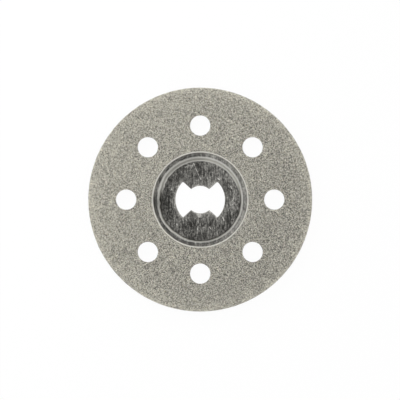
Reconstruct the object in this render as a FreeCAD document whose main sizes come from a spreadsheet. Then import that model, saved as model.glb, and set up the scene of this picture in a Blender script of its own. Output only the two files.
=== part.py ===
import FreeCAD, Part
import math
import os
import Sketcher
from FreeCAD import Vector

# Diamond cutting disc for a hand-held rotary tool, in millimetres.
# A ring of thin sheet steel carries plated diamond grit on both faces. A pressed steel cup is
# fixed behind the ring's window, and the mandrel drives the cup through its bow-tie opening.
# The frame: +Z is the spin axis, out of the dished side. The origin lies on that axis, on the
# back of the cup's floor, which is the face that the disc rests on.

SIZES = [
    ("disc_dia", 38.0, "outer diameter of the coated ring"),
    ("blank_thick", 0.6, "thickness of the ring with the coat on both faces"),
    ("edge_break", 0.1, "width of the worn corner on the ring's rim and window"),
    ("vent_count", 8, "number of cooling holes"),
    ("vent_dia", 3.4, "diameter of a cooling hole"),
    ("vent_margin", 0.95, "ring left between the cup's flange and the cooling holes"),
    ("seat_width", 1.85, "width of flange that seats behind the ring"),
    ("ledge_width", 0.65, "width of flat flange that shows inside the window"),
    ("hub_sheet", 0.4, "thickness of the cup's sheet"),
    ("floor_dia", 13.5, "diameter at which the floor's face would meet the wall"),
    ("dish_depth", 0.8, "from the flange's face down to the floor's face"),
    ("wall_slope", 68.0, "slope of the cup's wall from the floor, in degrees"),
    ("die_radius", 0.1, "inner radius of the bend from flange to wall"),
    ("punch_radius", 0.2, "inner radius of the bend from wall to floor"),
    ("lobe_dia", 8.4, "diameter across the bow-tie opening's two lobes"),
    ("throat_dia", 4.66, "diameter of the opening's middle"),
    ("flank_angle", 42.0, "slope of a lobe's flank from the opening's long axis, in degrees"),
    ("flank_offset", 0.28, "distance of a flank's line from the spin axis"),
    ("tip_round", 0.18, "corner radius at a lobe's tip"),
    ("nose_round", 0.1, "corner radius where a flank meets the throat"),
]

doc = FreeCAD.newDocument("diamond_cutting_disc")
sheet = doc.addObject("Spreadsheet::Sheet", "sizes")
for row, (alias, value, meaning) in enumerate(SIZES, start=1):
    sheet.set(f"A{row}", meaning)
    sheet.set(f"B{row}", str(value))
    sheet.setAlias(f"B{row}", alias)
doc.recompute()

# What follows from the driving sizes: the shoulder is where the flange's face would meet the
# wall, and its bend reaches out from there to the ledge.
FLANGE_FACE_Z = "sizes.hub_sheet + sizes.dish_depth"
SHOULDER_R = "sizes.floor_dia / 2 + sizes.dish_depth / tan(sizes.wall_slope * 1 deg)"
SHOULDER_BEND = "(sizes.die_radius + sizes.hub_sheet) * tan(sizes.wall_slope * 0.5 deg)"
WINDOW_R = f"{SHOULDER_R} + {SHOULDER_BEND} + sizes.ledge_width"
FLANGE_R = f"{WINDOW_R} + sizes.seat_width"
VENT_CIRCLE_R = f"{FLANGE_R} + sizes.vent_margin + sizes.vent_dia / 2"

# The sketcher's own names for a point of a line or arc, and for the fixed origin
START, END, CENTRE = range(1, 4)
ORIGIN = (-1, 1)
VERTICAL_AXIS = -2

# How far an edge may lie from where it is looked for
TOLERANCE = 1e-4


def size(alias):
    """The plain number of one driving size."""
    return float(sheet.get(alias))


def origin_feature(body, role):
    """The plane or axis of the body's own origin that has this role."""
    return next(feature for feature in body.Origin.OriginFeatures if feature.Role == role)


def new_body(name):
    """An empty body whose label is the name of its file."""
    body = doc.addObject("PartDesign::Body", name)
    body.Label = name
    return body


def new_sketch(body, name, role):
    """An empty sketch on one of the body's own origin planes."""
    sketch = body.newObject("Sketcher::SketchObject", name)
    sketch.AttachmentSupport = (origin_feature(body, role), [""])
    sketch.MapMode = "FlatFace"
    return sketch


def relate(sketch, kind, *points):
    """Adds a constraint that has no size."""
    sketch.addConstraint(Sketcher.Constraint(kind, *points))


def measure(sketch, name, expression, kind, *points):
    """Adds a dimension as drawn and ties it to the sizes."""
    index = sketch.addConstraint(Sketcher.Constraint(kind, *points))
    sketch.renameConstraint(index, name)
    sketch.setExpression(f"Constraints.{name}", expression)


def add_circle(sketch, name, expression, centre=Vector(0, 0, 0)):
    """A roughly drawn circle, whose radius is then measured."""
    rough_radius = 1
    circle = sketch.addGeometry(Part.Circle(centre, Vector(0, 0, 1), rough_radius), False)
    measure(sketch, name, expression, "Radius", circle, rough_radius)
    return circle


def add_dress_up(body, kind, name, size_name, expression, wanted, count):
    """Rounds or breaks every edge of the body's last feature for which the test holds."""
    base = body.Tip
    edges = [f"Edge{i}" for i, edge in enumerate(base.Shape.Edges, start=1) if wanted(edge)]
    if len(edges) != count:
        raise ValueError(f"{name} found {len(edges)} edges and not {count}")
    feature = body.newObject(kind, name)
    feature.Base = (base, edges)
    feature.setExpression(size_name, expression)
    body.Tip = feature
    doc.recompute()


def add_fillet(body, name, expression, wanted, count):
    """Rounds the edges for which the test holds."""
    add_dress_up(body, "PartDesign::Fillet", name, "Radius", expression, wanted, count)


def is_round(edge):
    """True for a circle or an arc."""
    return isinstance(edge.Curve, Part.Circle)


def about_axis(edge):
    """True for a circle about the spin axis."""
    return is_round(edge) and math.hypot(edge.Curve.Center.x, edge.Curve.Center.y) < TOLERANCE


def ring_at(radius, height):
    """A test for the circle about the spin axis with this radius and height."""
    def wanted(edge):
        if not about_axis(edge):
            return False
        circle = edge.Curve
        return abs(circle.Radius - radius) < TOLERANCE and abs(circle.Center.z - height) < TOLERANCE
    return wanted


def corner_at(radius):
    """A test for straight upright edges at this distance from the spin axis."""
    def wanted(edge):
        if is_round(edge):
            return False
        start, end = (vertex.Point for vertex in edge.Vertexes)
        upright = math.hypot(start.x - end.x, start.y - end.y) < TOLERANCE
        return upright and abs(math.hypot(start.x, start.y) - radius) < TOLERANCE
    return wanted


# Coated ring
# A flat ring punched with a window and a circle of cooling holes, then plated all over. It lies
# on the cup's flange, and both corners of its rim and of its window are broken.

blank = new_body("coated_blank")
blank.setExpression("Placement.Base.z", FLANGE_FACE_Z)

outline = new_sketch(blank, "ring_outline", "XY_Plane")
rim = add_circle(outline, "disc_radius", "sizes.disc_dia / 2")
window = add_circle(outline, "window_radius", WINDOW_R)
relate(outline, "Coincident", rim, CENTRE, *ORIGIN)
relate(outline, "Coincident", window, CENTRE, *ORIGIN)

ring = blank.newObject("PartDesign::Pad", "ring")
ring.Profile = outline
ring.setExpression("Length", "sizes.blank_thick")

vent_outline = new_sketch(blank, "vent_outline", "XY_Plane")
drawn_y = size("disc_dia") / 3
hole = add_circle(vent_outline, "vent_radius", "sizes.vent_dia / 2", Vector(0, drawn_y, 0))
relate(vent_outline, "PointOnObject", hole, CENTRE, VERTICAL_AXIS)
measure(vent_outline, "circle_radius", VENT_CIRCLE_R, "DistanceY", *ORIGIN, hole, CENTRE, drawn_y)

vent = blank.newObject("PartDesign::Pocket", "vent")
vent.Profile = vent_outline
vent.Type = "ThroughAll"
vent.Reversed = True

vents = blank.newObject("PartDesign::PolarPattern", "vents")
vents.Originals = [vent]
vents.Axis = (origin_feature(blank, "Z_Axis"), [""])
vents.Angle = 360
vents.setExpression("Occurrences", "sizes.vent_count")
blank.Tip = vents
doc.recompute()

add_dress_up(blank, "PartDesign::Chamfer", "broken_corners", "Size", "sizes.edge_break",
             about_axis, 4)

# Hub cup
# The section of the pressed sheet, drawn with sharp corners, is turned about the spin axis. Its
# corners then get their bends, each with an outside radius of the inside plus the sheet.

cup = new_body("hub_cup")

# Roughly drawn corners of the section, as distance from the axis and height, from the middle
# of the floor's back round the sheet to the middle of the floor's face
SECTION = [(0, 0), (7, 0), (7.4, 1), (10, 1), (10, 1.4), (7, 1.4), (6.6, 0.4), (0, 0.4)]
FLOOR_BACK, WALL_BACK, FLANGE_BACK, FLANGE_EDGE, FLANGE_FACE, WALL_FACE, FLOOR_FACE, MIDDLE = range(8)

section = new_sketch(cup, "cup_section", "XZ_Plane")
for (x0, y0), (x1, y1) in zip(SECTION, SECTION[1:] + SECTION[:1]):
    section.addGeometry(Part.LineSegment(Vector(x0, y0, 0), Vector(x1, y1, 0)), False)
for line in range(len(SECTION)):
    relate(section, "Coincident", line, END, (line + 1) % len(SECTION), START)
for line in (FLOOR_BACK, FLANGE_BACK, FLANGE_FACE, FLOOR_FACE):
    relate(section, "Horizontal", line)
for line in (FLANGE_EDGE, MIDDLE):
    relate(section, "Vertical", line)
relate(section, "Coincident", FLOOR_BACK, START, *ORIGIN)
relate(section, "Parallel", WALL_BACK, WALL_FACE)

# The line that starts at the corner to be measured, and its rough distance or height
for name, expression, direction, line, drawn in [
    ("floor_radius", "sizes.floor_dia / 2", "DistanceX", FLOOR_FACE, 6.6),
    ("flange_radius", FLANGE_R, "DistanceX", FLANGE_EDGE, 10),
    ("floor_face_height", "sizes.hub_sheet", "DistanceY", FLOOR_FACE, 0.4),
    ("flange_back_height", "sizes.dish_depth", "DistanceY", FLANGE_BACK, 1),
    ("flange_face_height", FLANGE_FACE_Z, "DistanceY", FLANGE_FACE, 1.4),
]:
    measure(section, name, expression, direction, *ORIGIN, line, START, drawn)
measure(section, "wall_slope", "sizes.wall_slope * 1 deg", "Angle", WALL_BACK, math.radians(68))
measure(section, "wall_thick", "sizes.hub_sheet", "Distance", WALL_FACE, START, WALL_BACK, 0.4)

pressed = cup.newObject("PartDesign::Revolution", "pressed_sheet")
pressed.Profile = section
pressed.ReferenceAxis = (section, ["V_Axis"])
pressed.Angle = 360
doc.recompute()

# Drive opening
# Two lobes on one circle, two throat arcs on a smaller one, and four straight flanks between
# them. Its corners are drawn roughly, at these angles round the axis.

lobe_r, throat_r = size("lobe_dia") / 2, size("throat_dia") / 2
TIP, NOSE = math.radians(45), math.radians(48)

opening = new_sketch(cup, "opening_outline", "XY_Plane")


def add_arc(radius, start, end):
    """A roughly drawn arc about the spin axis."""
    arc = Part.ArcOfCircle(Part.Circle(Vector(0, 0, 0), Vector(0, 0, 1), radius), start, end)
    index = opening.addGeometry(arc, False)
    relate(opening, "Coincident", index, CENTRE, *ORIGIN)
    return index


def add_flank(nose, tip):
    """A roughly drawn flank from the throat out to the lobe, at these angles."""
    start = Vector(throat_r * math.cos(nose), throat_r * math.sin(nose), 0)
    end = Vector(lobe_r * math.cos(tip), lobe_r * math.sin(tip), 0)
    return opening.addGeometry(Part.LineSegment(start, end), False)


right_lobe = add_arc(lobe_r, -TIP, TIP)
top_throat = add_arc(throat_r, NOSE, math.pi - NOSE)
left_lobe = add_arc(lobe_r, math.pi - TIP, math.pi + TIP)
bottom_throat = add_arc(throat_r, math.pi + NOSE, 2 * math.pi - NOSE)
top_right = add_flank(NOSE, TIP)
top_left = add_flank(math.pi - NOSE, math.pi - TIP)
bottom_left = add_flank(math.pi + NOSE, math.pi + TIP)
bottom_right = add_flank(-NOSE, -TIP)

for flank, lobe, lobe_point, throat, throat_point in [
    (top_right, right_lobe, END, top_throat, START),
    (top_left, left_lobe, START, top_throat, END),
    (bottom_left, left_lobe, END, bottom_throat, START),
    (bottom_right, right_lobe, START, bottom_throat, END),
]:
    relate(opening, "Coincident", flank, END, lobe, lobe_point)
    relate(opening, "Coincident", flank, START, throat, throat_point)
relate(opening, "Equal", right_lobe, left_lobe)
relate(opening, "Equal", top_throat, bottom_throat)
for point in (START, END):
    relate(opening, "Horizontal", top_right, point, top_left, point)
    relate(opening, "Vertical", top_right, point, bottom_right, point)
    relate(opening, "Vertical", top_left, point, bottom_left, point)
measure(opening, "lobe_radius", "sizes.lobe_dia / 2", "Radius", right_lobe, lobe_r)
measure(opening, "throat_radius", "sizes.throat_dia / 2", "Radius", top_throat, throat_r)
measure(opening, "flank_slope", "sizes.flank_angle * 1 deg", "Angle", top_right, math.radians(40))
measure(opening, "flank_offset", "sizes.flank_offset", "Distance", *ORIGIN, top_right, 0.3)

drive = cup.newObject("PartDesign::Pocket", "drive_opening")
drive.Profile = opening
drive.Type = "ThroughAll"
drive.Reversed = True
doc.recompute()

add_fillet(cup, "lobe_tips", "sizes.tip_round", corner_at(lobe_r), 4)
add_fillet(cup, "throat_noses", "sizes.nose_round", corner_at(throat_r), 4)

# Bends
# The back of the sheet has its sharp corners further out than the face, by the sheet's
# thickness times the tangent of half the slope.

slope = math.radians(size("wall_slope"))
floor_r = size("floor_dia") / 2
shoulder_r = floor_r + size("dish_depth") / math.tan(slope)
back_shift = size("hub_sheet") * math.tan(slope / 2)
flange_face_z = size("hub_sheet") + size("dish_depth")
for name, expression, radius, height in [
    ("shoulder_face", "sizes.die_radius + sizes.hub_sheet", shoulder_r, flange_face_z),
    ("shoulder_back", "sizes.die_radius", shoulder_r + back_shift, size("dish_depth")),
    ("floor_bend_face", "sizes.punch_radius", floor_r, size("hub_sheet")),
    ("floor_bend_back", "sizes.punch_radius + sizes.hub_sheet", floor_r + back_shift, 0),
]:
    add_fillet(cup, name, expression, ring_at(radius, height), 1)

# Checks, then one file for each body

for item in doc.Objects:
    if {"Invalid", "Error"} & set(item.State):
        raise RuntimeError(f"{item.Name} did not build: {item.State}")
os.makedirs("parts", exist_ok=True)
for body in (blank, cup):
    if body.Shape.isNull() or not body.Shape.isValid():
        raise RuntimeError(f"{body.Label} has no valid shape")
    body.Shape.exportStep(f"parts/{body.Label}.step")
    print(f"{body.Label}: {body.Shape.Volume:.2f} mm3, {len(body.Shape.Faces)} faces")
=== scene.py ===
import math

import bmesh
import bpy
import numpy as np
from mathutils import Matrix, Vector


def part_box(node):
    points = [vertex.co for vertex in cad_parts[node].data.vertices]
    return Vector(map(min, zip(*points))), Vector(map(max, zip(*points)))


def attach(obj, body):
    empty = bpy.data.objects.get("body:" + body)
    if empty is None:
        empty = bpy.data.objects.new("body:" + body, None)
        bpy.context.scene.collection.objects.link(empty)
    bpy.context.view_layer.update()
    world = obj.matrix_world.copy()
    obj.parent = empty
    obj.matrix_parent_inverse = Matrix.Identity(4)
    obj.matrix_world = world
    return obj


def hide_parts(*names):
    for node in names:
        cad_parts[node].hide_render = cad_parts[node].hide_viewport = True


# Looks of the diamond cutting disc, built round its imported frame. Shapes are worked out in
# millimetres in the frame of the part and go into their meshes in metres.

bl_info = {
    "name": "Diamond cutting disc",
    "version": (1, 0, 0),
    "blender": (4, 5, 0),
    "location": "3D View > Sidebar > Cutting Disc",
    "description": "Builds the grit-coated ring, the pressed hub and the stage of a cutting disc",
    "category": "Add Mesh",
}

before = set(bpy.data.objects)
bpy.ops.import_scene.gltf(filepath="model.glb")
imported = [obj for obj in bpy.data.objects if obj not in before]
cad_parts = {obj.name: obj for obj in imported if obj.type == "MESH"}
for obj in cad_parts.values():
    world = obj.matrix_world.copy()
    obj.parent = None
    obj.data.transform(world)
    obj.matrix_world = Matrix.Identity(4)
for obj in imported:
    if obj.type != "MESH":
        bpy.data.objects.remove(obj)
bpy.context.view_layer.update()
MM = 0.001
RING_LOW, RING_HIGH = (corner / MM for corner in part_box("coated_blank"))
CUP_LOW, CUP_HIGH = (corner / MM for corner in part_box("hub_cup"))
TURN = 2 * math.pi


# Sizes and colours

def length(name, description, default_mm):
    """A length that is shown in the scene's unit and is held in metres."""
    return bpy.props.FloatProperty(
        name=name, description=description, default=default_mm * MM, unit="LENGTH", precision=5)


def colour(name, description, hex_code):
    """A colour as a user picks it, from its sRGB hex code."""
    return bpy.props.FloatVectorProperty(
        name=name, description=description, default=linear(hex_code), size=3, subtype="COLOR",
        min=0, max=1)


def linear(hex_code):
    """The linear red, green and blue of an sRGB hex code."""
    channels = [int(hex_code[place:place + 2], 16) / 255 for place in (1, 3, 5)]
    return [c / 12.92 if c <= 0.04045 else ((c + 0.055) / 1.055) ** 2.4 for c in channels]


class RingSizes(bpy.types.PropertyGroup):
    """The coated ring."""
    radius: length("Radius", "Outer radius of the ring over its grit", RING_HIGH.x)
    window: length("Window radius", "Radius of the ring's window", 7.985)
    vents: bpy.props.IntProperty(name="Vents", description="Number of cooling holes", default=8)
    vent_radius: length("Vent radius", "Radius of a cooling hole between its grit", 1.7)
    vent_circle: length("Vent circle", "Distance of a cooling hole from the spin axis", 12.557)
    seat: length("Seat radius", "Radius inside which the ring's back is bare for the hub", 9.99)
    bead: length("Bead width", "Width of the smooth nickel bead round the window", 0.17)
    bond_drop: length("Bond drop", "How far the nickel bond lies below the tips of the grit", 0.095)


class GritSizes(bpy.types.PropertyGroup):
    """The diamond grit."""
    spacing: length("Spacing", "Distance between neighbouring grains", 0.14)
    reach: length("Grain reach", "Mean distance from a grain's middle to its points", 0.105)
    split: length("Split radius", "Radius at which the grit on a face goes over to its outer piece",
                  14.6)
    seed: bpy.props.IntProperty(name="Seed", description="Start of the random draws", default=11)


class HubSizes(bpy.types.PropertyGroup):
    """The pressed hub cup."""
    flange: length("Flange radius", "Radius of the flange behind the ring", CUP_HIGH.x)
    sheet: length("Sheet", "Thickness of the cup's sheet", 0.4)
    floor: length("Floor radius", "Radius at which the floor's face would meet the wall", 6.75)
    slope: bpy.props.FloatProperty(
        name="Wall slope", description="Slope of the wall from the floor",
        default=math.radians(68), subtype="ANGLE")
    die: length("Die radius", "Inner radius of the bend from flange to wall", 0.1)
    punch: length("Punch radius", "Inner radius of the bend from wall to floor", 0.2)
    punch_wide: length("Wide punch radius", "Inner radius of that bend at the upper side", 0.38)
    lobe: length("Lobe radius", "Radius of the drive opening's lobes", 4.2)
    throat: length("Throat radius", "Radius of the drive opening's middle", 2.33)
    flank: bpy.props.FloatProperty(
        name="Flank slope", description="Slope of a lobe's flank from the long axis",
        default=math.radians(42), subtype="ANGLE")
    flank_offset: length("Flank offset", "Distance of a flank's line from the spin axis", 0.28)
    tip: length("Tip radius", "Corner radius at a lobe's tip", 0.18)
    nose: length("Nose radius", "Corner radius where a flank meets the throat", 0.1)
    roll: length("Edge roll", "How far the punched edge is drawn down at the opening", 0.05)
    bow: length("Floor bow", "How far the middle of the floor stands up from its edge", 0.09)


class Finishes(bpy.types.PropertyGroup):
    """Colours of the finishes."""
    grit_pale: colour("Pale grit", "Diamond grains that are nearly clear", "#FBF7E6")
    grit_mid: colour("Middling grit", "Most of the diamond grains", "#A5A295")
    grit_dark: colour("Dark grit", "Diamond grains with dark flaws", "#2C2A25")
    grit_amber: colour("Yellow grit", "Diamond grains with more nitrogen", "#C2BA98")
    bond: colour("Nickel bond", "Satin nickel between the grains", "#B2AFA5")
    bead: colour("Bright nickel", "Smooth nickel round the window", "#F4F2EB")
    steel_dark: colour("Dark streaks", "Rolled steel where the grain is open", "#474643")
    steel_light: colour("Light streaks", "Rolled steel where the grain is closed", "#DAD8D1")
    # Also painted light: the highlight on the hub's shoulder and at the ledge's upper right is this
    # colour
    steel_rubbed_and_lit: colour("Burnished steel", "Steel that the die has rubbed smooth", "#CAC9C3")
    # Also painted shade: the bend's lower side and the ledge's left are darkened with this colour
    shade_and_grime: colour("Grime", "Dark dirt in the bend round the floor", "#2E2D2A")
    table: colour("Table", "White table top", "#F2F2F2")


class StageSettings(bpy.types.PropertyGroup):
    """Camera, table and light."""
    view_width: length("View width", "Width that the picture takes in at the disc", 67.76)
    lens: bpy.props.FloatProperty(
        name="Focal length", description="Focal length of the camera in millimetres",
        default=150, subtype="NONE")
    shift_x: length("Disc to the right", "How far right of the middle the disc appears", 0.034)
    shift_y: length("Disc up", "How far above the middle the disc appears", 0.068)
    key_power: bpy.props.FloatProperty(
        name="Key lamp", description="Power of the lamp at the upper left", default=0.075,
        unit="POWER")


# Shapes as grids of points

def rounded(corners, radii, steps):
    """Points along a polyline whose corners are rounded.

    Each corner gives way to an arc of its radius, tangent to both of its lines. It starts and
    ends at the radius times the tangent of half the turn from the corner, and a point just
    outside each end keeps the flat beside it flat when it is shaded.
    """
    corners = np.asarray(corners, float)
    guard = 0.012
    points = [corners[:1]]
    for before, corner, after, radius in zip(corners, corners[1:], corners[2:], radii):
        back = (before - corner) / np.linalg.norm(before - corner)
        ahead = (after - corner) / np.linalg.norm(after - corner)
        half = math.acos(np.clip(back @ ahead, -1, 1)) / 2
        reach = radius / math.tan(half)
        middle = corner + (back + ahead) / np.linalg.norm(back + ahead) * radius / math.sin(half)
        first, last = corner + back * reach - middle, corner + ahead * reach - middle
        sweep = math.pi - 2 * half
        part = np.linspace(0, 1, steps)[:, None]
        arc = (np.sin((1 - part) * sweep) * first + np.sin(part * sweep) * last) / math.sin(sweep)
        points += [(middle + first + back * guard)[None], middle + arc,
                   (middle + last + ahead * guard)[None]]
    return np.vstack(points + [corners[-1:]])


def revolved(profile, angles):
    """A profile of distance and height turned about the spin axis: (r cos a, r sin a, z)."""
    r, z = profile[:, :1], profile[:, 1:]
    return np.dstack([r * np.cos(angles), r * np.sin(angles), z + 0 * angles])


def grid_faces(rows, columns, closed=False):
    """The corners of every square of a grid whose points are numbered row by row.

    Each row runs round and meets its own start. In a closed grid the last row meets the first.
    """
    row = np.arange(rows if closed else rows - 1)[:, None]
    column = np.arange(columns)[None]
    next_row, next_column = (row + 1) % rows, (column + 1) % columns
    corners = [row * columns + column, row * columns + next_column,
               next_row * columns + next_column, next_row * columns + column]
    return np.stack([corner.ravel() for corner in corners], axis=1)


def write_mesh(name, points, faces, slots, values=None):
    """A mesh from points in millimetres, faces of equal corner count and a slot for each face.

    values holds named numbers for the points, which the materials read.
    """
    mesh = bpy.data.meshes.new(name)
    mesh.vertices.add(len(points))
    mesh.vertices.foreach_set("co", (points * MM).astype(np.float32).ravel())
    mesh.loops.add(faces.size)
    mesh.loops.foreach_set("vertex_index", faces.astype(np.int32).ravel())
    mesh.polygons.add(len(faces))
    corner_count = faces.shape[1]
    mesh.polygons.foreach_set("loop_start", np.arange(0, faces.size, corner_count, dtype=np.int32))
    mesh.polygons.foreach_set("loop_total", np.full(len(faces), corner_count, np.int32))
    mesh.polygons.foreach_set("material_index", np.asarray(slots, np.int32))
    for label, numbers in (values or {}).items():
        attribute = mesh.attributes.new(label, "FLOAT", "POINT")
        attribute.data.foreach_set("value", numbers.astype(np.float32).ravel())
    mesh.update(calc_edges=True)
    return mesh


def close_shell(mesh):
    """Merges the seams of a shell, turns its faces outwards and shades it smooth."""
    shell = bmesh.new()
    shell.from_mesh(mesh)
    bmesh.ops.remove_doubles(shell, verts=shell.verts, dist=0.0001 * MM)
    bmesh.ops.recalc_face_normals(shell, faces=shell.faces)
    shell.to_mesh(mesh)
    shell.free()
    mesh.polygons.foreach_set("use_smooth", np.ones(len(mesh.polygons), bool))
    mesh.update()


def add_piece(mesh, materials, slot, *replaced):
    """Puts a finished mesh into the scene as a piece that rides on the part's one body."""
    for material in materials:
        mesh.materials.append(material)
    piece = bpy.data.objects.new(mesh.name, mesh)
    bpy.context.scene.collection.objects.link(piece)
    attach(piece, "root")
    if replaced:
        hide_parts(*replaced)


# Materials

def add_node(material, kind, settings=None, **links):
    """Adds a node with its settings. A link or value is given by the name of its input."""
    node = material.node_tree.nodes.new(kind)
    for name, value in (settings or {}).items():
        setattr(node, name, value)
    for name, value in links.items():
        socket = node.inputs[int(name[1:])] if name[0] == "_" else node.inputs[name.replace("_", " ")]
        if isinstance(value, bpy.types.NodeSocket):
            material.node_tree.links.new(value, socket)
        else:
            socket.default_value = value
    return node


def new_material(name):
    """An empty material with nodes."""
    material = bpy.data.materials.new(name)
    material.use_nodes = True
    material.node_tree.nodes.clear()
    return material


def plain(name, colour_value, **values):
    """A material of one Principled shader with these values."""
    material = new_material(name)
    shader = add_node(material, "ShaderNodeBsdfPrincipled",
                      Base_Color=(*colour_value, 1), **values)
    add_node(material, "ShaderNodeOutputMaterial", Surface=shader.outputs["BSDF"])
    material.diffuse_color = (*colour_value, 1)
    return material


def diamond_grain(name, colour_value, flaw_colour):
    """Synthetic diamond in one tone: hard bright facets over a body with dark flaws of metal."""
    material = new_material(name)
    place = add_node(material, "ShaderNodeTexCoord").outputs["Object"]
    # Each flaw is a cell some 0.08 mm across
    cells = add_node(material, "ShaderNodeTexVoronoi", Vector=place, Scale=1 / (0.08 * MM))
    draw = add_node(material, "ShaderNodeSeparateColor", Color=cells.outputs["Color"])
    clear = add_node(material, "ShaderNodeMapRange", _0=draw.outputs[0], From_Min=0.36, From_Max=0.46)
    body = add_node(material, "ShaderNodeMix", {"data_type": "RGBA"}, _0=clear.outputs[0],
                    _6=(*flaw_colour, 1), _7=(*colour_value, 1))
    # Diamond's own IOR of 2.42 gives its facets their strong white gloss
    shader = add_node(material, "ShaderNodeBsdfPrincipled", Base_Color=body.outputs[2], IOR=2.42,
                      Roughness=0.18)
    add_node(material, "ShaderNodeOutputMaterial", Surface=shader.outputs["BSDF"])
    material.diffuse_color = (*colour_value, 1)
    return material


def diamond_grit(finishes):
    """Crushed diamond: dark grains, greenish grey ones, some yellow ones and nearly clear ones."""
    flaws = finishes.grit_dark
    return [
        diamond_grain("diamond_grit_dark", finishes.grit_dark, flaws),
        diamond_grain("diamond_grit_mid", finishes.grit_mid, flaws),
        diamond_grain("diamond_grit_amber", finishes.grit_amber, flaws),
        diamond_grain("diamond_grit_pale", finishes.grit_pale, flaws),
    ]


def nickel_bond(finishes):
    """Electroplated nickel between the grains: a satin metal, slightly warm."""
    return plain("electroplated_nickel_satin", finishes.bond, Metallic=1.0, Roughness=0.42)


def nickel_bead(finishes):
    """Electroplated nickel where the mask kept the grit off: bright, warm and a little satin."""
    return plain("electroplated_nickel_bright", finishes.bead, Metallic=1.0, Roughness=0.4)


def rolled_steel(finishes):
    """Bare cold-rolled steel: a grey metal whose rolling grain runs along Y in fine streaks.

    The grain's own lines are some hundredths of a millimetre wide, too fine for the render, so
    they are drawn 0.25 mm wide. The die has polished the shoulder smooth, where the attribute
    "rubbed" is 1, and there and at the ledge's upper right that attribute also paints a highlight.
    The attribute "scuff" lightens scratches and the opening's edge and paints highlights on the
    upper wall and the ledge's right, and "grime" darkens dirt and paints shade in the bend round
    the floor and on the ledge's left.
    """
    material = new_material("rolled_steel_bare")
    place = add_node(material, "ShaderNodeTexCoord").outputs["Object"]
    # One unit of noise for every 0.25 mm across the grain and 1.3 mm along it
    fine = add_node(material, "ShaderNodeMapping", Vector=place,
                    Scale=(1 / (0.25 * MM), 1 / (1.3 * MM), 1))
    streaks = add_node(material, "ShaderNodeTexNoise", Vector=fine.outputs[0], Scale=1.0, Detail=4.0,
                       Roughness=0.85)
    # Wider bands of the same grain, 1 mm across and 9 mm along
    wide = add_node(material, "ShaderNodeMapping", Vector=place, Scale=(1 / MM, 1 / (9 * MM), 1))
    bands = add_node(material, "ShaderNodeTexNoise", Vector=wide.outputs[0], Scale=1.0, Detail=2.0)
    # Short pits and marks, 0.3 mm across
    pits = add_node(material, "ShaderNodeTexNoise", Vector=place, Scale=1 / (0.3 * MM), Detail=3.0)
    # Cloudy patches of stain, 2.5 mm across
    stain = add_node(material, "ShaderNodeTexNoise", {"noise_dimensions": "4D"}, Vector=place, W=6.0,
                     Scale=1 / (2.5 * MM), Detail=2.0)
    grain = streaks.outputs[0]
    for pattern, weight in [(bands, 0.25), (stain, 0.4), (pits, 0.45)]:
        grain = add_node(material, "ShaderNodeMath", {"operation": "MULTIPLY_ADD"},
                         _0=pattern.outputs[0], _1=weight, _2=grain).outputs[0]
    tone = add_node(material, "ShaderNodeMapRange", _0=grain, From_Min=0.97, From_Max=1.27)
    steel = add_node(material, "ShaderNodeMix", {"data_type": "RGBA"}, _0=tone.outputs[0],
                     _6=(*finishes.steel_dark, 1), _7=(*finishes.steel_light, 1))
    base, marks = steel.outputs[2], {}
    # These marks also carry painted highlights and painted shade
    for mark, tint in [("rubbed_and_lit", finishes.steel_rubbed_and_lit), ("scuff_and_highlight", finishes.bead),
                       ("shade_and_grime", finishes.shade_and_grime)]:
        attribute = add_node(material, "ShaderNodeAttribute", {"attribute_name": mark})
        marks[mark] = attribute.outputs["Fac"]
        base = add_node(material, "ShaderNodeMix", {"data_type": "RGBA"}, _0=marks[mark],
                        _6=base, _7=(*tint, 1)).outputs[2]
    depth = add_node(material, "ShaderNodeMath", {"operation": "MULTIPLY_ADD"},
                     _0=marks["rubbed_and_lit"], _1=-0.8, _2=1.0)
    relief = add_node(material, "ShaderNodeBump", Height=grain,
                      Strength=depth.outputs[0], Distance=0.022 * MM)
    gloss = add_node(material, "ShaderNodeMapRange", _0=marks["rubbed_and_lit"], To_Min=0.24, To_Max=0.5)
    shader = add_node(material, "ShaderNodeBsdfPrincipled", Base_Color=base, Metallic=1.0,
                      Roughness=gloss.outputs[0], Normal=relief.outputs[0])
    add_node(material, "ShaderNodeOutputMaterial", Surface=shader.outputs["BSDF"])
    return material


def seen_directly(material):
    """1 for a ray from the camera or from a glossy or clear surface, and 0 for any other."""
    path = add_node(material, "ShaderNodeLightPath")
    direct = add_node(material, "ShaderNodeMath", {"operation": "MAXIMUM"},
                      _0=path.outputs["Is Camera Ray"], _1=path.outputs["Is Glossy Ray"])
    seen = add_node(material, "ShaderNodeMath", {"operation": "MAXIMUM"},
                    _0=direct.outputs[0], _1=path.outputs["Is Transmission Ray"])
    return seen.outputs[0]


def white_table(finishes):
    """A white table top that the camera, and any gloss, sees as the white background.

    Other rays meet its plain colour. A share of plain colour stays for the camera, so that the
    disc still casts its shadow on it.
    """
    material = new_material("white_table_top")
    paint = (*finishes.table, 1)
    lit = add_node(material, "ShaderNodeBsdfDiffuse", Color=paint)
    white = add_node(material, "ShaderNodeEmission", Color=(1, 1, 1, 1), Strength=1.0)
    shadow_share = 0.04
    background = add_node(material, "ShaderNodeMixShader", _0=1 - shadow_share,
                          _1=lit.outputs[0], _2=white.outputs[0])
    surface = add_node(material, "ShaderNodeMixShader", _0=seen_directly(material),
                       _1=lit.outputs[0], _2=background.outputs[0])
    add_node(material, "ShaderNodeOutputMaterial", Surface=surface.outputs[0])
    return material


# Coated ring

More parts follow.
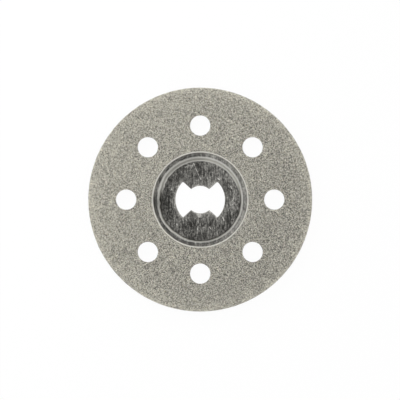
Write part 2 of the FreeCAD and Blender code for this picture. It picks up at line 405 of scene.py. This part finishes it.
def sector_outline(inner, outer, half, arc_points, side_points, inner_points):
    """The closed outline of one sector of the ring, centred on the +Y axis.

    It runs along the outer arc, in along the left side, back along the inner arc and out along
    the right side, and each corner is given once.
    """
    angle = np.concatenate([
        np.linspace(-half, half, arc_points, endpoint=False), np.full(side_points, half),
        np.linspace(half, -half, inner_points, endpoint=False), np.full(side_points, -half)])
    radius = np.concatenate([
        np.full(arc_points, outer), np.linspace(outer, inner, side_points, endpoint=False),
        np.full(inner_points, inner), np.linspace(inner, outer, side_points, endpoint=False)])
    return np.stack([-radius * np.sin(angle), radius * np.cos(angle)], axis=1)


def sector_face(outline, vent, rays, radius, z, steps):
    """A sector's flat face: straight lines from the vent's edge out to the outline."""
    part = (np.linspace(0, 1, steps) ** 1.5)[:, None, None]
    flat = (1 - part) * (vent + rays * radius) + part * outline
    return np.dstack([flat, np.full(flat.shape[:2], z)])


def vent_wall(vent, rays, profile):
    """A vent's wall: its profile of distance and height carried round the vent's middle."""
    flat = vent + profile[:, None, :1] * rays
    return np.dstack([flat, np.repeat(profile[:, 1:], len(rays), axis=1)])


def turned(points, angle):
    """Points turned about the spin axis."""
    c, s = math.cos(angle), math.sin(angle)
    return points @ np.array([[c, s, 0], [-s, c, 0], [0, 0, 1]])


def ring_shell(ring):
    """Points, faces and slots of the ring's nickel: slot 0 for the bond, 1 for the bead.

    Each of the equal sectors has a front face, a back face and a vent's wall. The rim and the
    window are profiles turned about the spin axis, with the same points as the sectors' arcs.
    """
    low, high = RING_LOW.z, RING_HIGH.z
    drop, vents = ring.bond_drop / MM, ring.vents
    top, back = high - drop, low + drop
    outer, window, seat = ring.radius / MM - drop, ring.window / MM, ring.seat / MM
    vent_radius = ring.vent_radius / MM + drop
    bead_foot = window + ring.bead / MM
    flat = 0.12
    half = math.pi / vents
    counts = {"arc_points": 48, "side_points": 22, "inner_points": 36}
    front = sector_outline(bead_foot + 0.04, outer - flat, half, **counts)
    rear = sector_outline(seat + drop, outer - flat, half, **counts)
    vent = np.array([0, ring.vent_circle / MM])
    rays = front - vent
    rays /= np.linalg.norm(rays, axis=1, keepdims=True)
    near = vent_radius + flat
    wall = rounded([(near, top), (vent_radius, top), (vent_radius, back), (near, back)], (0.07, 0.07), 6)
    sector = [sector_face(front, vent, rays, near, top, 7), sector_face(rear, vent, rays, near, back, 7),
              vent_wall(vent, rays, wall)]
    grids = [(turned(grid, TURN * turn / vents), 0) for turn in range(vents) for grid in sector]

    def band(corners, radii, points, slot):
        angles = math.pi / 2 - half + np.arange(points * vents) * TURN / (points * vents)
        grids.append((revolved(rounded(corners, radii, 7), angles), slot))

    band([(outer - flat, top), (outer, top), (outer, back), (outer - flat, back)], (0.1, 0.1),
         counts["arc_points"], 0)
    # The plating builds up to a low bead along the window's masked edge
    crest = high - 0.015
    band([(bead_foot + 0.04, top), (bead_foot, top), (bead_foot - 0.05, crest), (window, crest),
          (window, low), (seat, low), (seat + drop, back)], (0.02, 0.03, 0.09, 0.04, 0.03),
         counts["inner_points"], 1)
    return join_grids(grids)


def join_grids(grids):
    """Points, faces and slots of several grids, each given as its points and its slot."""
    points, faces, slots, start = [], [], [], 0
    for grid, slot in grids:
        rows, columns = grid.shape[:2]
        squares = grid_faces(rows, columns)
        points.append(grid.reshape(-1, 3))
        faces.append(squares + start)
        slots.append(np.full(len(squares), slot))
        start += rows * columns
    return np.vstack(points), np.vstack(faces), np.concatenate(slots)


# Diamond grit

WAIST = math.sqrt(3) / 2
GRAIN = np.array([(1, 0, 0), (-0.5, WAIST, 0), (-0.5, -WAIST, 0), (0, 0, 1), (0, 0, -1)])
GRAIN_FACES = np.array([(0, 1, 3), (1, 2, 3), (2, 0, 3), (1, 0, 4), (2, 1, 4), (0, 2, 4)])


def random_turns(rng, count):
    """Rotation matrices spread evenly over all directions, from random unit quaternions."""
    w, x, y, z = rng.normal(size=(4, count))
    size = np.sqrt(w * w + x * x + y * y + z * z)
    w, x, y, z = w / size, x / size, y / size, z / size
    rows = [[1 - 2 * (y * y + z * z), 2 * (x * y - w * z), 2 * (x * z + w * y)],
            [2 * (x * y + w * z), 1 - 2 * (x * x + z * z), 2 * (y * z - w * x)],
            [2 * (x * z - w * y), 2 * (y * z + w * x), 1 - 2 * (x * x + y * y)]]
    return np.moveaxis(np.array(rows), 2, 0)


def crystals(rng, places, outwards, reach, limit):
    """Points and faces of one grain of grit at each place on the coat's outer face.

    A grain is a block of six facets: three points round its waist and two poles, each at a
    random distance from its middle. It is turned at random, and slid along the face's normal
    until its furthest point is just under the face, so that all grains reach about as far, as
    sieved grit does. A point that would pass the ring's faces or its outer radius, the limit, is
    drawn back to it.
    """
    count = len(places)
    spread, unevenness = 0.3, 0.014
    points = GRAIN * reach * rng.uniform(1 - spread, 1 + spread, (count, len(GRAIN), 1))
    points = points @ random_turns(rng, count)
    furthest = (points * outwards[:, None]).sum(axis=2).max(axis=1)
    slide = furthest + rng.uniform(0.001, unevenness, count)
    points += (places - outwards * slide[:, None])[:, None]
    # The flats of a faceted circle lie a little inside its radius
    limit -= 0.006
    points[:, :, 2] = points[:, :, 2].clip(RING_LOW.z, RING_HIGH.z)
    points[:, :, :2] *= np.minimum(1, limit / np.hypot(points[:, :, 0], points[:, :, 1]))[:, :, None]
    faces = GRAIN_FACES + len(GRAIN) * np.arange(count)[:, None, None]
    return points.reshape(-1, 3), faces.reshape(-1, 3)


def scattered(rng, spacing, low, high):
    """Places in rows a spacing apart, every other row moved by half, each moved a little."""
    row_step = spacing * math.sqrt(3) / 2
    y = np.arange(low[1], high[1], row_step)
    x = np.arange(low[0], high[0], spacing)
    grid_x, grid_y = np.meshgrid(x, y)
    grid_x = grid_x + (np.arange(len(y)) % 2)[:, None] * spacing / 2
    places = np.stack([grid_x.ravel(), grid_y.ravel()], axis=1)
    return places + rng.uniform(-0.32, 0.32, places.shape) * spacing


def face_places(rng, ring, grit, inner):
    """Places for grains on a face of the ring, clear of its vents and of this inner radius."""
    reach = ring.radius / MM
    places = scattered(rng, grit.spacing / MM, (-reach, -reach), (reach, reach))
    distance = np.hypot(*places.T)
    margin = 0.1
    kept = (distance > inner) & (distance < reach - margin)
    for turn in range(ring.vents):
        angle = math.pi / 2 + TURN * turn / ring.vents
        vent = ring.vent_circle / MM * np.array([math.cos(angle), math.sin(angle)])
        kept &= np.hypot(*(places - vent).T) > ring.vent_radius / MM + margin
    return places[kept]


def edge_places(rng, ring, grit, radius):
    """Places round an upright wall of this radius, and the direction away from its axis at each."""
    low, high = RING_LOW.z, RING_HIGH.z
    margin = 0.09
    places = scattered(rng, grit.spacing / MM, (0, low + margin), (TURN * radius, high - margin))
    angle, z = places[:, 0] / radius, np.clip(places[:, 1], low + margin, high - margin)
    spokes = np.stack([np.cos(angle), np.sin(angle), 0 * angle], axis=1)
    return spokes * radius + np.outer(z, (0, 0, 1)), spokes


def mottling(rng, places, shortest, longest):
    """A soft random pattern over the disc, about 0 with a spread of 1.

    It is a sum of cosine waves in random directions, of lengths from the shortest to the longest.
    """
    count = 40
    way, phase = rng.uniform(0, TURN, (2, count))
    wave = TURN / rng.uniform(shortest, longest, count)
    waves = np.stack([np.cos(way), np.sin(way)]) * wave
    return np.cos(places[:, :2] @ waves + phase).sum(axis=1) / math.sqrt(count / 2)


def grit_mesh(name, rng, places, outwards, reach, limit):
    """A mesh of grains in four tones: dark, middling, yellow and pale.

    A facet's tone is drawn at random, partly for its whole grain, and the mottling shifts the
    draw a little, so that lighter and darker patches form.
    """
    points, faces = crystals(rng, places, outwards, reach, limit)
    grain_draw = rng.uniform(size=(len(places), 1))
    facet_draw = rng.uniform(size=(len(places), len(GRAIN_FACES)))
    from_axis = np.hypot(*places[:, :2].T)
    patch = 0.02 * mottling(rng, places, 1.0, 5.0)
    patch += 0.12 * ease(from_axis, 15, 19) + 0.2 * ease(from_axis, 18, 19)
    # Painted light: the coat's tone is made a little lighter towards its upper left, the key lamp's side
    patch += places[:, :2] @ (-0.0045, 0.0026)
    grain_share, tone_ends = 0.1, (0.22, 0.28, 0.32)
    draw = grain_share * grain_draw + (1 - grain_share) * facet_draw + patch[:, None]
    return write_mesh(name, points, faces, np.digitize(draw, tone_ends).ravel())


# Hub

def opening_edge(hub):
    """The drive opening's outline and, at each point, the direction into the steel.

    A quarter of it is the lobe's arc, the tip's arc, the straight flank, the nose's arc and the
    throat's arc, each tangent to the next. The flank's own frame is turned by the flank's slope,
    so there the flank lies at a height of its offset and each corner arc's middle lies a radius
    off it. The other quarters mirror the first.
    """
    lobe, throat, tip, nose = hub.lobe / MM, hub.throat / MM, hub.tip / MM, hub.nose / MM
    slope, offset = hub.flank, hub.flank_offset / MM
    c, s = math.cos(slope), math.sin(slope)
    frame_turn = np.array([[c, s], [-s, c]])
    tip_along = math.sqrt((lobe - tip) ** 2 - (offset - tip) ** 2)
    tip_mid = np.array([tip_along, offset - tip]) @ frame_turn
    nose_along = math.sqrt((throat + nose) ** 2 - (offset + nose) ** 2)
    nose_mid = np.array([nose_along, offset + nose]) @ frame_turn
    tip_angle = math.atan2(tip_mid[1], tip_mid[0])
    nose_angle = math.atan2(nose_mid[1], nose_mid[0])
    upright = slope + math.pi / 2

    def arc(middle, radius, start, end, count, inwards=1):
        angle = np.linspace(start, end, count, endpoint=False)
        spoke = np.stack([np.cos(angle), np.sin(angle)], axis=1)
        return middle + radius * inwards * spoke, spoke

    part = np.linspace(0, 1, 44, endpoint=False)[:, None]
    off = np.array([math.cos(upright), math.sin(upright)])
    flank = tip_mid + off * tip + part * ((nose_mid - off * nose) - (tip_mid + off * tip))
    pieces = [
        arc(0, lobe, 0, tip_angle, 66),
        arc(tip_mid, tip, tip_angle, upright, 16),
        (flank, np.repeat(off[None], len(flank), axis=0)),
        arc(nose_mid, nose, upright, nose_angle, 12, inwards=-1),
        arc(0, throat, nose_angle, math.pi / 2, 40),
    ]
    edge = np.vstack([piece[0] for piece in pieces] + [[(0, throat)]])
    into = np.vstack([piece[1] for piece in pieces] + [[(0, 1)]])
    mirror = np.array([-1, 1])
    edge = np.vstack([edge, edge[-2:0:-1] * mirror])
    into = np.vstack([into, into[-2:0:-1] * mirror])
    return np.vstack([edge, -edge]), np.vstack([into, -into])


# Scratches on the floor as they lie in the photograph, each a line of points in millimetres
SCRATCHES = [
    [(-1.40, 5.67), (-1.09, 6.24), (-0.42, 4.60), (0.06, 3.62)],
    [(-2.55, 5.57), (-1.85, 5.82), (-1.19, 5.90)],
    [(-0.30, -3.10), (-0.38, -5.40)],
]
# Dents, each a short line, painted bright as glints
DENTS = [
    [(0.02, 3.66), (0.12, 3.50)],
    [(3.05, 3.55), (3.35, 3.42)],
    [(5.22, 2.30), (5.34, 1.98)],
    [(3.88, -3.00), (4.06, -3.42)],
    [(1.62, -4.66), (1.86, -4.92)],
    [(0.42, -4.78), (0.72, -4.72)],
    [(-0.44, -4.86), (-0.40, -5.10)],
    [(-4.92, 1.70), (-4.84, 2.00)],
    [(-3.98, -4.08), (-3.86, -4.26)],
]
# The pale spot under the opening, and its size
SPOT, SPOT_SIZE = (-0.16, -2.75), (0.42, 0.30)
# Soft darker patches: the first is painted shadow on the ledge at the left, under the ring, and the
# others darken patches of the floor and wall. The place of each, its spread in millimetres and its
# strength
DARK_PATCHES = [
    ((-8.3, -0.6), 1.8, 0.65),
    ((-4.2, 4.6), 2.6, 0.26),
    ((-1.4, 7.2), 2.0, 0.24),
    ((1.2, -5.6), 2.4, 0.24),
]


def distance_to_line(x, y, line):
    """The distance of each point from the nearest piece of a line."""
    nearest = np.full(np.shape(x), np.inf)
    for (x0, y0), (x1, y1) in zip(line, line[1:]):
        run_x, run_y = x1 - x0, y1 - y0
        part = ((x - x0) * run_x + (y - y0) * run_y) / (run_x ** 2 + run_y ** 2)
        part = np.clip(part, 0, 1)
        nearest = np.minimum(nearest, np.hypot(x - x0 - part * run_x, y - y0 - part * run_y))
    return nearest


def ease(value, start, end):
    """0 before start, 1 after end and a smooth step between them."""
    part = np.clip((value - start) / (end - start), 0, 1)
    return part * part * (3 - 2 * part)


def upper_side(angle):
    """1 round the disc's upper side, 0 round its lower side and a smooth step between them."""
    return ease(np.sin(angle), 0.0, 0.5)


def toward(angle, degrees, sharpness):
    """1 in the direction of these degrees round the disc, fading to 0 on the opposite side."""
    return ((1 + np.cos(angle - math.radians(degrees))) / 2) ** sharpness


def zone(value, rise, fall):
    """0, a smooth step up between the two ends of the rise, then down between those of the fall."""
    return ease(value, *rise) * (1 - ease(value, *fall))


def hub_shell(hub):
    """Points, faces and named numbers of the hub cup: one closed grid, like a ring doughnut.

    Its columns run from the drive opening's edge to circles about the spin axis. Its rows go
    out over the floor, up the wall, over the ledge to the flange's edge, back under the sheet
    and up the opening's wall. The bend round the floor is wider at the upper side, as the sheet
    was held less tightly there, so the rows are a mean of two sections, weighted by angle.
    """
    sheet, floor, depth = hub.sheet / MM, hub.floor / MM, CUP_HIGH.z - hub.sheet / MM
    edge, into = opening_edge(hub)
    step = np.linalg.norm(np.roll(edge, -1, axis=0) - edge, axis=1)
    angle = TURN * (np.cumsum(step) - step) / step.sum()
    shoulder = floor + depth / math.tan(hub.slope)
    back_shift = sheet * math.tan(hub.slope / 2)
    flange, die = hub.flange / MM, hub.die / MM
    blend_end, collar, flange_edge = floor - 0.4, 0.09, 0.05
    corners = [(blend_end, sheet), (floor, sheet), (shoulder, sheet + depth), (flange, sheet + depth),
               (flange, depth), (shoulder + back_shift, depth), (floor + back_shift, 0), (blend_end, 0)]

    def rows_with(punch):
        radii = (punch, die + sheet, flange_edge, flange_edge, die, punch + sheet)
        return revolved(rounded(corners, radii, 10), angle)

    wide = upper_side(angle)[:, None]
    outer_rows = (1 - wide) * rows_with(hub.punch / MM) + wide * rows_with(hub.punch_wide / MM)
    circle = blend_end * np.stack([np.cos(angle), np.sin(angle)], axis=1)

    def floor_rows(parts, z):
        part = parts[:, None, None]
        flat = (1 - part) * (edge + into * collar) + part * circle
        return np.dstack([flat, np.full(flat.shape[:2], z)])

    lip = rounded([(collar, 0), (0, 0), (0, sheet), (collar, sheet)], (0.03, 0.06), 5)
    lip_flat = edge + lip[:, None, :1] * into
    lip_rows = np.dstack([lip_flat, np.repeat(lip[:, 1:], len(edge), axis=1)])
    front = floor_rows(np.linspace(0, 1, 42)[1:-1], sheet)
    under = floor_rows(np.linspace(1, 0, 8)[1:-1], 0.0)
    points = np.vstack([front, outer_rows, under, lip_rows])
    faces = grid_faces(*points.shape[:2], closed=True)
    points, values = hub_wear(hub, points.reshape(-1, 3), edge)
    return points, faces, values


def edge_gap(points, edge, floor):
    """The distance of each point within the floor from the opening's edge, and far for the rest."""
    far, parts = 9.0, 40
    gap = np.full(len(points), far)
    near = np.flatnonzero(np.hypot(points[:, 0], points[:, 1]) < floor)
    for some in np.array_split(near, parts):
        apart = points[some, None, :2] - edge[None]
        gap[some] = np.sqrt((apart ** 2).sum(axis=2).min(axis=1))
    return gap


def scratched(rng, points):
    """How much the scratches and dents lighten each point, and how far they raise it.

    Across its line each is a groove with a raised side: a bell curve down, and a lower one up a
    little aside. The soft random pattern breaks the scratches here and there.
    """
    x, y = points[:, 0], points[:, 1]
    width, groove, ridge, aside = 0.085, 0.012, 0.008, 0.12
    broken = np.clip(0.75 + 0.35 * mottling(rng, points, 0.3, 1.2), 0, 1)
    lines = [(line, 0.95 * broken) for line in SCRATCHES] + [(line, 1) for line in DENTS]
    light, height = np.zeros(len(points)), np.zeros(len(points))
    for line, strength in lines:
        off = distance_to_line(x, y, line)
        bell = np.exp(-(off / width) ** 2)
        light = np.maximum(light, strength * bell)
        height += ridge * np.exp(-((off - aside) / width) ** 2) - groove * bell
    return light, height


def wandering(rng, angle):
    """How far the wall wanders: a sum of sine waves round it, largest at its lower left."""
    waves = np.arange(4, 46)
    phase, size = rng.uniform(0, TURN, len(waves)), rng.uniform(0.3, 1, len(waves)) / np.sqrt(waves)
    wander = (np.sin(angle[:, None] * waves + phase) * size).sum(axis=1)
    return wander * (0.015 + 0.06 * toward(angle, 200, 4))


def hub_wear(hub, points, edge):
    """Gives the hub's points the marks of its making and use, and names where they are. Some of these
    marks are painted shade and painted highlights.

    The floor stands up in its middle by the bow, and at the opening it is drawn down by the
    roll, which fades with distance. The ledge slopes down by the springback.
    """
    rng = np.random.default_rng(5)
    x, y, z = points.T
    sheet, floor = hub.sheet / MM, hub.floor / MM
    radius, angle = np.hypot(x, y), np.arctan2(y, x)
    on_top = z > sheet * 0.9
    on_front = ease(z, sheet * 0.5, sheet * 0.95) * (1 - ease(radius, floor - 0.1, floor))
    upper, left = upper_side(angle), toward(angle, 195, 2)
    gap = edge_gap(points, edge, floor)
    scratch, relief = scratched(rng, points)
    relief += hub.bow / MM * (1 - (radius / floor) ** 2).clip(0) - hub.roll / MM * np.exp(-gap / 0.16)
    ledge, ledge_width, springback = floor + 0.66, 0.7, math.radians(6.8)
    dip = (radius - ledge).clip(0, ledge_width) * math.tan(springback)
    dip *= 1 - ease(radius, ledge + ledge_width, ledge + 2 * ledge_width)
    # The punch was a little below and to the right of the die's middle
    moved = on_top * zone(radius, (hub.lobe / MM, floor - 0.4), (floor - 0.05, floor + 0.55))
    x, y = x + 0.02 * moved, y - (0.15 - 0.12 * upper) * moved
    on_wall = on_top * zone(radius, (floor - 0.3, floor - 0.1), (floor + 0.5, floor + 0.68))
    stretch = 1 + wandering(rng, angle) * on_wall / np.maximum(radius, 1)
    worn = np.stack([x * stretch, y * stretch, z + relief * on_front - dip * on_top], axis=1)

    # The shoulder band is polished by the die and also painted lighter as a highlight; at the upper side
    # it starts lower, so the painted highlight is wider there
    foot, on_ledge = floor + 0.1 - 0.28 * upper, ease(radius, ledge, ledge + 0.1)
    rubbed_and_lit = zone(radius, (foot, foot + 0.07), (floor + 0.38, floor + 0.75))
    # Dirt and painted shade in the bend round the floor: darkened on the lower side, most at the left,
    # where the bend lies in shade
    shade_and_grime = (0.3 + 0.35 * left) * (1 - upper)
    shade_and_grime *= zone(radius, (floor - 0.15, floor - 0.05), (floor + 0.06, floor + 0.16))
    for place, spread, strength in DARK_PATCHES:
        shade_and_grime += strength * np.exp(-((x - place[0]) ** 2 + (y - place[1]) ** 2) / spread ** 2)
    # Painted light and shade on the ledge: it is made lighter at its upper right, where light falls, and
    # darker at its left, as the ring's painted shadow
    rubbed_and_lit = np.maximum(rubbed_and_lit, toward(angle, 45, 0.9) * on_ledge)
    shade_and_grime += 0.4 * left * ease(radius, ledge + 0.1, ledge + 0.4)
    # Painted highlights: the wall is lightened at the upper side and the ledge at its right
    upper_wall = upper * zone(radius, (floor - 0.02, floor + 0.08), (floor + 0.15, floor + 0.3))
    painted_highlight = np.maximum(0.6 * upper_wall, 0.3 * toward(angle, -20, 2) * on_ledge)
    spot = np.exp(-((x - SPOT[0]) / SPOT_SIZE[0]) ** 4 - ((y - SPOT[1]) / SPOT_SIZE[1]) ** 4)
    scuff_and_highlight = on_front * np.clip(scratch + 0.35 * np.exp(-gap / 0.45) + 0.85 * spot, 0, 1)
    scuff_and_highlight = np.maximum(scuff_and_highlight, painted_highlight * on_top)
    return worn, {"rubbed_and_lit": rubbed_and_lit * on_top, "shade_and_grime": shade_and_grime * on_top, "scuff_and_highlight": scuff_and_highlight}


# Operators

class BUILD_OT_ring(bpy.types.Operator):
    """Build the ring's nickel: the bond under the grit and the bright bead round the window"""
    bl_idname = "cutting_disc.build_ring"
    bl_label = "Coated ring"

    def execute(self, context):
        scene = context.scene
        points, faces, slots = ring_shell(scene.ring_sizes)
        mesh = write_mesh("blank_plated", points, faces, slots)
        close_shell(mesh)
        finishes = scene.disc_finishes
        add_piece(mesh, [nickel_bond(finishes), nickel_bead(finishes)], "diamond_coat", "coated_blank")
        return {"FINISHED"}


class BUILD_OT_grit(bpy.types.Operator):
    """Build the diamond grit on the ring's faces, its rim and the walls of its vents"""
    bl_idname = "cutting_disc.build_grit"
    bl_label = "Diamond grit"

    def execute(self, context):
        scene = context.scene
        ring, grit = scene.ring_sizes, scene.grit_sizes
        rng = np.random.default_rng(grit.seed)
        reach, materials = grit.reach / MM, diamond_grit(scene.disc_finishes)
        bead_end = (ring.window + ring.bead) / MM + 0.07
        for side, inner, z, way in [("front", bead_end, RING_HIGH.z, 1),
                                    ("back", ring.seat / MM + 0.12, RING_LOW.z, -1)]:
            places = face_places(rng, ring, grit, inner)
            places = np.column_stack([places, np.full(len(places), z)])
            # Each face is two pieces, so that neither has too many facets
            within = np.hypot(*places[:, :2].T) < grit.split / MM
            for half, some in [("inner", places[within]), ("outer", places[~within])]:
                outwards = np.tile((0.0, 0.0, way), (len(some), 1))
                mesh = grit_mesh(f"grit_{side}_{half}", rng, some, outwards, reach, ring.radius / MM)
                add_piece(mesh, materials, "diamond_coat")
        places, spokes = edge_places(rng, ring, grit, ring.radius / MM)
        mesh = grit_mesh("grit_rim", rng, places, spokes, reach, ring.radius / MM)
        add_piece(mesh, materials, "diamond_coat")
        places, outwards = [], []
        for turn in range(ring.vents):
            wall, spokes = edge_places(rng, ring, grit, ring.vent_radius / MM)
            middle = turned(np.array([0, ring.vent_circle / MM, 0]), TURN * turn / ring.vents)
            places.append(middle + wall)
            outwards.append(-spokes)
        mesh = grit_mesh("grit_vents", rng, np.vstack(places), np.vstack(outwards), reach * 0.8,
                         ring.radius / MM)
        add_piece(mesh, materials, "diamond_coat")
        return {"FINISHED"}


class BUILD_OT_hub(bpy.types.Operator):
    """Build the pressed hub cup with its drive opening, its grain and its marks of wear"""
    bl_idname = "cutting_disc.build_hub"
    bl_label = "Pressed hub"

    def execute(self, context):
        scene = context.scene
        points, faces, values = hub_shell(scene.hub_sizes)
        mesh = write_mesh("hub_pressed", points, faces, np.zeros(len(faces)), values)
        close_shell(mesh)
        add_piece(mesh, [rolled_steel(scene.disc_finishes)], "rolled_steel", "hub_cup")
        return {"FINISHED"}


class BUILD_OT_stage(bpy.types.Operator):
    """Build the white table, the light tent, the key lamp and the camera overhead"""
    bl_idname = "cutting_disc.build_stage"
    bl_label = "Stage"

    def execute(self, context):
        scene = context.scene
        stage = scene.disc_stage
        scene.view_settings.view_transform = "Standard"
        table_half, under = 2.0, -0.00002
        corners = [(-1, -1), (1, -1), (1, 1), (-1, 1)]
        mesh = bpy.data.meshes.new("table")
        points = [(x * table_half, y * table_half, under) for x, y in corners]
        mesh.from_pydata(points, [], [(0, 1, 2, 3)])
        mesh.materials.append(white_table(scene.disc_finishes))
        table = bpy.data.objects.new("table", mesh)
        scene.collection.objects.link(table)
        key = bpy.data.lights.new("key_lamp", "AREA")
        key.shape, key.size, key.size_y, key.energy = "RECTANGLE", 0.12, 0.12, stage.key_power
        key_lamp = bpy.data.objects.new("key_lamp", key)
        scene.collection.objects.link(key_lamp)
        # The lamp stands behind the tent's cloth, so no gloss shows it
        key_lamp.visible_glossy = False
        key_lamp.location = (-0.07, 0.055, 0.065)
        key_lamp.rotation_euler = (-key_lamp.location).to_track_quat("-Z", "Y").to_euler()
        light_tent(scene)
        lens = bpy.data.cameras.new("camera")
        lens.lens, lens.sensor_width = stage.lens, 36
        lens.clip_start, lens.clip_end = 0.01, 10
        camera = bpy.data.objects.new("camera", lens)
        scene.collection.objects.link(camera)
        away = stage.view_width / lens.sensor_width * stage.lens
        camera.location = (-stage.shift_x, -stage.shift_y, RING_HIGH.z * MM + away)
        scene.camera = camera
        return {"FINISHED"}


def light_tent(scene):
    """A white light tent with a grey opening overhead, where the camera looks in.

    The opening's edge is soft, and it lies a little to the left, so that flat metal is darker on
    that side, as in the photograph.
    """
    world = bpy.data.worlds.new("light_tent")
    world.use_nodes = True
    scene.world = world
    world.node_tree.nodes.clear()
    way = add_node(world, "ShaderNodeTexCoord").outputs["Generated"]
    opening = Vector((-0.20, -0.03, 1)).normalized()
    facing = add_node(world, "ShaderNodeVectorMath", {"operation": "DOT_PRODUCT"}, _0=way, _1=opening)
    cloth_from, grey_within = math.cos(math.radians(23)), math.cos(math.radians(6))
    amount = add_node(world, "ShaderNodeMapRange", {"interpolation_type": "SMOOTHSTEP"},
                      _0=facing.outputs["Value"], From_Min=cloth_from, From_Max=grey_within)
    # Seen directly, the cloth is the white background
    cloth = add_node(world, "ShaderNodeMix", {"data_type": "RGBA"}, _0=seen_directly(world),
                     _6=(0.9, 0.9, 0.9, 1), _7=(1, 1, 1, 1))
    tent = add_node(world, "ShaderNodeMix", {"data_type": "RGBA"}, _0=amount.outputs[0],
                    _6=cloth.outputs[2], _7=(0.08, 0.08, 0.08, 1))
    light = add_node(world, "ShaderNodeBackground", Color=tent.outputs[2], Strength=1.0)
    add_node(world, "ShaderNodeOutputWorld", Surface=light.outputs[0])


class VIEW3D_PT_cutting_disc(bpy.types.Panel):
    """The disc's sizes, finishes and building steps"""
    bl_label = "Cutting Disc"
    bl_space_type = "VIEW_3D"
    bl_region_type = "UI"
    bl_category = "Cutting Disc"

    def draw(self, context):
        scene = context.scene
        for step in BUILD_STEPS:
            self.layout.operator(step.bl_idname)
        for name in GROUPS:
            box = self.layout.box()
            group = getattr(scene, name)
            for field in group.bl_rna.properties:
                if field.identifier not in ("rna_type", "name"):
                    box.prop(group, field.identifier)


GROUPS = {
    "ring_sizes": RingSizes,
    "grit_sizes": GritSizes,
    "hub_sizes": HubSizes,
    "disc_finishes": Finishes,
    "disc_stage": StageSettings,
}
BUILD_STEPS = [BUILD_OT_ring, BUILD_OT_grit, BUILD_OT_hub, BUILD_OT_stage]


def register():
    for item in [*GROUPS.values(), *BUILD_STEPS, VIEW3D_PT_cutting_disc]:
        bpy.utils.register_class(item)
    for name, group in GROUPS.items():
        setattr(bpy.types.Scene, name, bpy.props.PointerProperty(type=group))


def unregister():
    for name in GROUPS:
        delattr(bpy.types.Scene, name)
    for item in [VIEW3D_PT_cutting_disc, *BUILD_STEPS, *GROUPS.values()]:
        bpy.utils.unregister_class(item)


def main():
    register()
    bpy.ops.cutting_disc.build_ring()
    bpy.ops.cutting_disc.build_grit()
    bpy.ops.cutting_disc.build_hub()
    bpy.ops.cutting_disc.build_stage()


if __name__ == "__main__":
    main()
